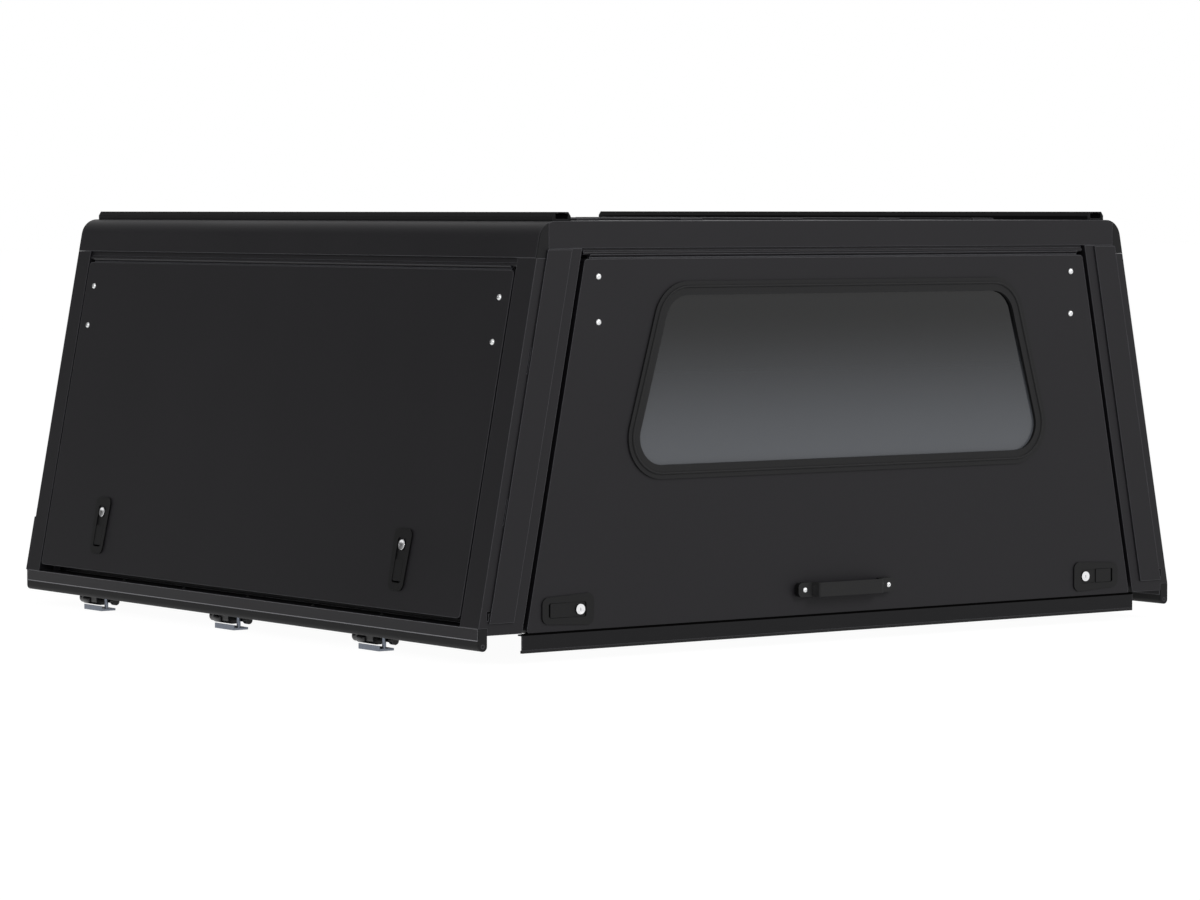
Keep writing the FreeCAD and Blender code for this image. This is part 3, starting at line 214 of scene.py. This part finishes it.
# Finishes of single pieces: the roof tracks, the rear door's lip, and the base rails, whose edges carry a
# bright painted highlight.
DARK_PROFILE = coated("dark_anodised_profile", "#070708", "#09090a", 0.45, 1.2, 0.00003, 0.12, "#1c1c1e")
LIP = coated("powder_coated_lip", "#0d0d0f", "#101012", 0.5, 1.6, 0.00008, 0.15)
RAIL_CREASE_PAINTED_HIGHLIGHT = coated("powder_coated_rail", "#1a191c", "#1f1e21", 0.45, 1.2, 0.00005, 0.2, "#808084")
BY_NODE = {"roof_track_left": DARK_PROFILE, "roof_track_right": DARK_PROFILE, "rear_lip": LIP,
           "base_rail_left": RAIL_CREASE_PAINTED_HIGHLIGHT, "base_rail_right": RAIL_CREASE_PAINTED_HIGHLIGHT}
STAINLESS = metal("stainless_button_head", "#e4e5e6", 0.3, 3.0, 0.00001)
LOCK_CHROME = metal("chromed_lock_face", "#e8e8ea", 0.2, 4.0, 0.00001)
# Near-black and almost unreflecting: a seal strip painted as dark as the shadow in the gap under the rear
# door.
SEAL_PAINTED_AS_GAP_SHADOW = moulded("seal_painted_as_gap_shadow", "#030303", 0.9, 2.0, 0.00002, 0.02)
# Dark grey: the rail end screws' own colour, and painted shade for the key slots.
KEYWAY = moulded("dark_keyway", "#2c2c2e", 0.7, 2.0, 0.00001)

for row in frame["record"]["subparts"]:
    packed = frame["nodes"][row["node"]]
    packed.data.materials.clear()
    packed.data.materials.append(BY_NODE.get(row["node"], FINISHES[row["material_slot"]]))


# Pieces.
def finish_piece(name, mesh, body, finish):
    """Keeps a mesh as a piece that rides on a body, smooth but for its sharp edges."""
    bmesh.ops.remove_doubles(mesh, verts=mesh.verts, dist=0.00001)
    bmesh.ops.recalc_face_normals(mesh, faces=mesh.faces)
    data = bpy.data.meshes.new(name)
    mesh.to_mesh(data)
    mesh.free()
    data.shade_smooth()
    data.set_sharp_from_angle(angle=math.radians(35))
    data.materials.append(finish)
    piece = bpy.data.objects.new(name, data)
    bpy.context.scene.collection.objects.link(piece)
    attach(piece, body)
    return piece


def both_sides(name, draw, places, body, finish):
    """The same small part at places on the right and, mirrored, on the left."""
    for side, sign in (("right", 1), ("left", -1)):
        mesh = bmesh.new()
        for place in places:
            draw(mesh, Matrix.Scale(sign, 4, (1, 0, 0)) @ place)
        finish_piece(name + "_" + side, mesh, body.format(side), finish)


def turned(mesh, place, outline, steps=32):
    """Spins an outline of radius and height about the place's z axis."""
    verts = [mesh.verts.new((radius, 0, height)) for radius, height in outline]
    edges = [mesh.edges.new(ends) for ends in zip(verts, verts[1:])]
    spun = bmesh.ops.spin(mesh, geom=verts + edges, cent=(0, 0, 0), axis=(0, 0, 1), angle=math.tau,
                          steps=steps, use_merge=True)
    last = {vert for vert in spun["geom_last"] if isinstance(vert, bmesh.types.BMVert)}
    linked = set(verts) | last
    grow = list(linked)
    while grow:
        vert = grow.pop()
        for edge in vert.link_edges:
            other = edge.other_vert(vert)
            if other not in linked:
                linked.add(other)
                grow.append(other)
    bmesh.ops.transform(mesh, matrix=place, verts=list(linked))


BUTTON = ((0.0, 0.0008), (0.0017, 0.0008), (0.0017, 0.0030), (0.0024, 0.0031), (0.0040, 0.0024),
          (0.0051, 0.0011), (0.0054, 0.0), (0.0054, -0.0006), (0.0, -0.0006))
SIDE_BOLT_ALONG = 0.658
SIDE_BOLT_LEVELS = (0.5276, 0.4553)
REAR_BOLT_ACROSS = 0.513
REAR_BOLT_LEVELS = (0.561, 0.487)
HANDLE_SCREW_ACROSS = 0.091
HANDLE_SCREW_SCALE = 0.85
HANDLE_LEVEL = 0.031
HANDLE_SEAT = 0.011


def button_head(mesh, place):
    """A button head with its socket."""
    turned(mesh, place, BUTTON, 24)


SIDE_BOLTS = [on_side(along, up / math.cos(LEAN)) for along in (-SIDE_BOLT_ALONG, SIDE_BOLT_ALONG)
              for up in SIDE_BOLT_LEVELS]
REAR_BOLTS = [on_rear(x, up) for x in (-REAR_BOLT_ACROSS, REAR_BOLT_ACROSS) for up in REAR_BOLT_LEVELS]
HANDLE_SCREWS = [on_rear(x, HANDLE_LEVEL, HANDLE_SEAT) @ Matrix.Scale(HANDLE_SCREW_SCALE, 4)
                 for x in (-HANDLE_SCREW_ACROSS, HANDLE_SCREW_ACROSS)]
both_sides("side_door_bolts", button_head, SIDE_BOLTS, "side_door_{}", STAINLESS)
bolts = bmesh.new()
for spot in REAR_BOLTS + HANDLE_SCREWS:
    button_head(bolts, spot)
finish_piece("rear_door_bolts", bolts, "rear_door", STAINLESS)

# Lock barrels: a polished face with a raised rim, and a dark keyway in it.
LOCK_FACE = ((0.0, 0.0004), (0.0066, 0.0004), (0.0074, 0.0008), (0.0084, 0.0008), (0.0088, 0.0003),
             (0.0088, -0.001), (0.0, -0.001))
LOCK_OUT = 0.0025
SIDE_LOCK_ALONG = 0.4925
SIDE_LOCK_LEVEL = 0.1192
REAR_LOCK_ACROSS = 0.5505
REAR_LOCK_LEVEL = 0.0223
KEYWAY_SIZE = (0.0009, 0.0045, 0.0003)
SIDE_LOCKS = [on_side(along, SIDE_LOCK_LEVEL / math.cos(LEAN), LOCK_OUT)
              for along in (-SIDE_LOCK_ALONG, SIDE_LOCK_ALONG)]
REAR_LOCKS = [on_rear(x, REAR_LOCK_LEVEL, LOCK_OUT) for x in (-REAR_LOCK_ACROSS, REAR_LOCK_ACROSS)]


def lock_face(mesh, place):
    """The face of a lock's barrel."""
    turned(mesh, place, LOCK_FACE)


def keyway(mesh, place):
    """The slot for the key: a dark plate just above the face, painted shade where the open slot would be."""
    made = bmesh.ops.create_cube(mesh, size=1.0)
    bmesh.ops.scale(mesh, vec=KEYWAY_SIZE, verts=made["verts"])
    bmesh.ops.translate(mesh, vec=(0, 0, LOCK_FACE[0][1]), verts=made["verts"])
    bmesh.ops.transform(mesh, matrix=place, verts=made["verts"])


both_sides("side_lock_faces", lock_face, SIDE_LOCKS, "side_door_{}", LOCK_CHROME)
both_sides("side_lock_keyways", keyway, SIDE_LOCKS, "side_door_{}", KEYWAY)
for name, draw, finish, slot in (("rear_lock_faces", lock_face, LOCK_CHROME, "zinc"),
                                 ("rear_lock_keyways", keyway, KEYWAY, "latch")):
    locks = bmesh.new()
    for spot in REAR_LOCKS:
        draw(locks, spot)
    finish_piece(name, locks, "rear_door", finish)

# Sill rivets, and the screws that hold the base rails' end plates.
RIVET = ((0.0, 0.0014), (0.0016, 0.0012), (0.0028, 0.0005), (0.0032, 0.0), (0.0032, -0.0006),
         (0.0, -0.0006))
RIVET_LINE = 0.728
RIVETS_AHEAD = (0.314, 0.526, 0.736, 0.950, 1.160)
END_SCREW = ((0.0, -0.0006), (0.0018, -0.0002), (0.0032, 0.0003), (0.0038, 0.0), (0.0038, -0.0006),
             (0.0, -0.0008))
END_SCREW_LINE = 0.7418
END_SCREW_DROP = 0.0285
SILL_RIVETS = [Matrix.Translation((RIVET_LINE, REAR_FACE + ahead, FOOT_LEVEL)) for ahead in RIVETS_AHEAD]
END_SCREWS = [Matrix.Translation((END_SCREW_LINE, y, FOOT_LEVEL - END_SCREW_DROP))
              @ Matrix.Rotation(turn, 4, "X")
              for y, turn in ((REAR_FACE, math.pi / 2), (FRONT_FACE, -math.pi / 2))]


def rivet(mesh, place):
    """The low dome of a blind rivet."""
    turned(mesh, place, RIVET, 16)


def end_screw(mesh, place):
    """A dark countersunk screw in a rail's end plate."""
    turned(mesh, place, END_SCREW, 20)


both_sides("sill_rivets", rivet, SILL_RIVETS, "canopy", STAINLESS)
both_sides("rail_end_screws", end_screw, END_SCREWS, "canopy", KEYWAY)

# Thin bars: a seal between the rear door's foot and its lip, painted near-black as the shadow in that gap, and
# a light bar along the lower edge of each base rail's outer face, above its rubber bulb, that is a painted
# highlight.
BAR_ROUND = 0.0006
LIP_SEAL_SHADOW_DEPTH = 0.0035
LIP_SEAL_SHADOW_HEIGHT = 0.0037
LIP_SEAL_SHADOW_IN = 0.001
LIP_SEAL_SHADOW_DROP = 0.01355
RAIL_EDGE_WIDTH = 0.0016
RAIL_EDGE_HEIGHT = 0.0022
RAIL_EDGE_IN = 0.0003
LIP_FOOT, LIP_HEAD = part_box("rear_lip")
RAIL_FOOT, RAIL_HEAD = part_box("base_rail_right")
# Light grey of the painted highlight along the base rails.
RAIL_HIGHLIGHT_FINISH = moulded("painted_rail_highlight", "#87878b", 0.5, 4.0, 0.00001, 0.4)


def thin_bar(mesh, size, place):
    """The only bar in its mesh, with rounded edges."""
    made = bmesh.ops.create_cube(mesh, size=1.0)
    bmesh.ops.scale(mesh, vec=size, verts=made["verts"])
    bmesh.ops.bevel(mesh, geom=mesh.edges[:], offset=BAR_ROUND, segments=2, affect="EDGES")
    bmesh.ops.transform(mesh, matrix=place, verts=mesh.verts)


def rail_highlight_bar(mesh, place):
    """A light rounded bar as long as the rail: a painted highlight."""
    thin_bar(mesh, (RAIL_EDGE_WIDTH, RAIL_HEAD[1] - RAIL_FOOT[1], RAIL_EDGE_HEIGHT), place)


# Painted shadow: the seal strip under the rear door's foot stands for the dark shadow gap above the lip.
lip_seal_shadow = bmesh.new()
thin_bar(lip_seal_shadow, (LIP_HEAD[0] - LIP_FOOT[0], LIP_SEAL_SHADOW_DEPTH, LIP_SEAL_SHADOW_HEIGHT),
         Matrix.Translation((0, REAR_FACE + LIP_SEAL_SHADOW_IN, FOOT_LEVEL - LIP_SEAL_SHADOW_DROP)))
finish_piece("rear_lip_seal_shadow", lip_seal_shadow, "rear_door", SEAL_PAINTED_AS_GAP_SHADOW)
# Painted highlight: a light bar along the lower edge of each base rail's outer face.
EDGE_MIDDLE = Matrix.Translation((RAIL_HEAD[0] - RAIL_EDGE_IN, (RAIL_FOOT[1] + RAIL_HEAD[1]) / 2,
                                  RAIL_FOOT[2] + RAIL_EDGE_HEIGHT / 2))
both_sides("rail_painted_highlights", rail_highlight_bar, [EDGE_MIDDLE], "canopy", RAIL_HIGHLIGHT_FINISH)

# Clamps: the round barrel nut that lies along each block's outer side.
BARREL = ((0.0, 0.0), (0.0055, 0.0), (0.0070, 0.0012), (0.0075, 0.003), (0.0075, 0.021), (0.0070, 0.0228),
          (0.0055, 0.024), (0.0, 0.024))
CLAMP_RODS_AHEAD = (0.327, 0.7875, 1.248)
BARREL_LINE = 0.7235
BARREL_AHEAD = 0.062
BARREL_DROP = 0.0445
BARRELS = [Matrix.Translation((BARREL_LINE, REAR_FACE + rod + BARREL_AHEAD, FOOT_LEVEL - BARREL_DROP))
           @ Matrix.Rotation(math.pi / 2, 4, "X") for rod in CLAMP_RODS_AHEAD]


def barrel(mesh, place):
    """A turned nut with round ends."""
    turned(mesh, place, BARREL, 28)


both_sides("clamp_barrels", barrel, BARRELS, "canopy", FINISHES["bracket"])

# Window rubbers: the filler strip that locks each rubber on its glass.
GLASS_HEAD = 0.529
GLASS_FOOT = 0.2506
GLASS_HALF = 0.367
GLASS_SLOPE = math.radians(15.8)
GLASS_ROUND = 0.046
FILLER_RADIUS = 0.0022
FILLER_OUT = 0.014
FILLER_PROUD = 0.0028
FRONT_FILLER_IN = 0.003


def window_path(out):
    """Points of the clear glass's outline, moved outwards, with round corners."""
    head = GLASS_HEAD + out
    foot = GLASS_FOOT - out
    reach = out / math.cos(GLASS_SLOPE)
    half_head = GLASS_HALF + reach - out * math.tan(GLASS_SLOPE)
    half_foot = half_head + (head - foot) * math.tan(GLASS_SLOPE)
    corners = [Vector(corner) for corner in ((half_head, head), (-half_head, head), (-half_foot, foot),
                                             (half_foot, foot))]
    points = []
    radius = GLASS_ROUND + out
    for index, corner in enumerate(corners):
        before = (corners[index - 1] - corner).normalized()
        after = (corners[(index + 1) % 4] - corner).normalized()
        half = before.angle(after) / 2
        centre = corner + (before + after).normalized() * radius / math.sin(half)
        start = corner + before * radius / math.tan(half) - centre
        end = corner + after * radius / math.tan(half) - centre
        sweep = start.angle_signed(end)
        for step in range(9):
            points.append(centre + Matrix.Rotation(-sweep * step / 8, 2) @ start)
    return points


def filler(name, body, level, face, outwards):
    """A filler strip: a thin round cord round a window."""
    path = bpy.data.curves.new(name, "CURVE")
    path.dimensions = "3D"
    path.bevel_depth = FILLER_RADIUS
    path.bevel_resolution = 3
    line = path.splines.new("POLY")
    points = window_path(FILLER_OUT)
    line.points.add(len(points) - 1)
    line.use_cyclic_u = True
    for point, place in zip(line.points, points):
        point.co = (place.x, face + outwards * FILLER_PROUD, level + place.y, 1)
    path.materials.append(FINISHES["rubber"])
    strip = bpy.data.objects.new(name, path)
    bpy.context.scene.collection.objects.link(strip)
    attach(strip, body)


filler("rear_window_filler", "rear_door", FOOT_LEVEL, REAR_FACE, -1)
filler("front_window_filler", "canopy", FOOT_LEVEL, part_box("front_window_rubber")[1][1] - FRONT_FILLER_IN, 1)

# The studio: pale floor, soft lamps and the camera.
floor_mesh = bmesh.new()
bmesh.ops.create_grid(floor_mesh, x_segments=1, y_segments=1, size=60)
floor_data = bpy.data.meshes.new("floor")
floor_mesh.to_mesh(floor_data)
floor_mesh.free()
floor = bpy.data.objects.new("floor", floor_data)
bpy.context.scene.collection.objects.link(floor)
PAPER_GLOW_SHARE = 0.9
PAPER_GLOW = 1.07
paper, paper_tree, paper_output = material("studio_paper")
light_path = add(paper_tree, "ShaderNodeLightPath")
seen = add(paper_tree, "ShaderNodeMath", {0: light_path.outputs["Is Camera Ray"],
                                          1: light_path.outputs["Is Glossy Ray"]}, operation="MAXIMUM")
seen_through = add(paper_tree, "ShaderNodeMath",
                   {0: seen.outputs[0], 1: light_path.outputs["Is Transmission Ray"]}, operation="MAXIMUM")
share = add(paper_tree, "ShaderNodeMath", {0: seen_through.outputs[0], 1: PAPER_GLOW_SHARE},
            operation="MULTIPLY")
matt = add(paper_tree, "ShaderNodeBsdfDiffuse", {"Color": linear("#f2f2f2")})
glow = add(paper_tree, "ShaderNodeEmission", {"Color": linear("#ffffff"), "Strength": PAPER_GLOW})
blend = add(paper_tree, "ShaderNodeMixShader", {0: share.outputs[0], 1: matt.outputs[0], 2: glow.outputs[0]})
paper_tree.links.new(blend.outputs[0], paper_output.inputs[0])
floor_data.materials.append(paper)

# The world is white to the camera, plain to matt surfaces, and darker towards the front left in reflections.
MATT_LEVEL = 0.46
DARKEST_MIRRORED = 0.13
BRIGHTEST_MIRRORED = 0.95
TOWARD_REAR_RIGHT = (0.8, -0.6, 0)
world = bpy.data.worlds.new("studio")
bpy.context.scene.world = world
world.use_nodes = True
air = world.node_tree
air.nodes.clear()
rays = add(air, "ShaderNodeLightPath")
clear = add(air, "ShaderNodeMath", {0: rays.outputs["Is Camera Ray"], 1: rays.outputs["Is Transmission Ray"]},
            operation="MAXIMUM")
heading = add(air, "ShaderNodeTexCoord")
along_heading = add(air, "ShaderNodeVectorMath", {0: heading.outputs["Generated"], 1: TOWARD_REAR_RIGHT},
                    operation="DOT_PRODUCT")
mirrored = add(air, "ShaderNodeMapRange", {"Value": along_heading.outputs["Value"], "From Min": -0.9,
                                           "From Max": -0.1, "To Min": DARKEST_MIRRORED,
                                           "To Max": BRIGHTEST_MIRRORED})
plain = add(air, "ShaderNodeMix", {"Factor": rays.outputs["Is Glossy Ray"], "A": MATT_LEVEL,
                                   "B": mirrored.outputs["Result"]})
level = add(air, "ShaderNodeMix", {"Factor": clear.outputs[0], "A": plain.outputs["Result"], "B": 1.0})
sky = add(air, "ShaderNodeBackground", {"Color": (1, 1, 1, 1), "Strength": level.outputs["Result"]})
add(air, "ShaderNodeOutputWorld", {"Surface": sky.outputs[0]})


def lamp(name, place, aim, size, power):
    """A square soft lamp that looks at a point."""
    data = bpy.data.lights.new(name, "AREA")
    data.size = size
    data.energy = power
    made = bpy.data.objects.new(name, data)
    made.location = place
    made.rotation_euler = (Vector(aim) - Vector(place)).to_track_quat("-Z", "Y").to_euler()
    bpy.context.scene.collection.objects.link(made)


lamp("key_over_rear_right", (2.5, -6.0, 4.5), (0, 0, 0.3), 3.0, 225)
lamp("fill_over_left", (-6.0, 0.5, 3.5), (0, 0, 0.3), 3.5, 85)
lamp("edge_light_rear_left", (-4.0, -5.5, 2.2), (0, 0, 0.3), 0.8, 60)

camera_data = bpy.data.cameras.new("camera")
camera_data.lens = 134.38
camera_data.sensor_width = 36
camera_data.clip_end = 200
camera = bpy.data.objects.new("camera", camera_data)
camera.location = (-4.7939, -6.6000, 0.7327)
camera.rotation_euler = (math.radians(86.917), 0, math.radians(-36.126))
bpy.context.scene.collection.objects.link(camera)
bpy.context.scene.camera = camera
bpy.context.scene.view_settings.view_transform = "Standard"
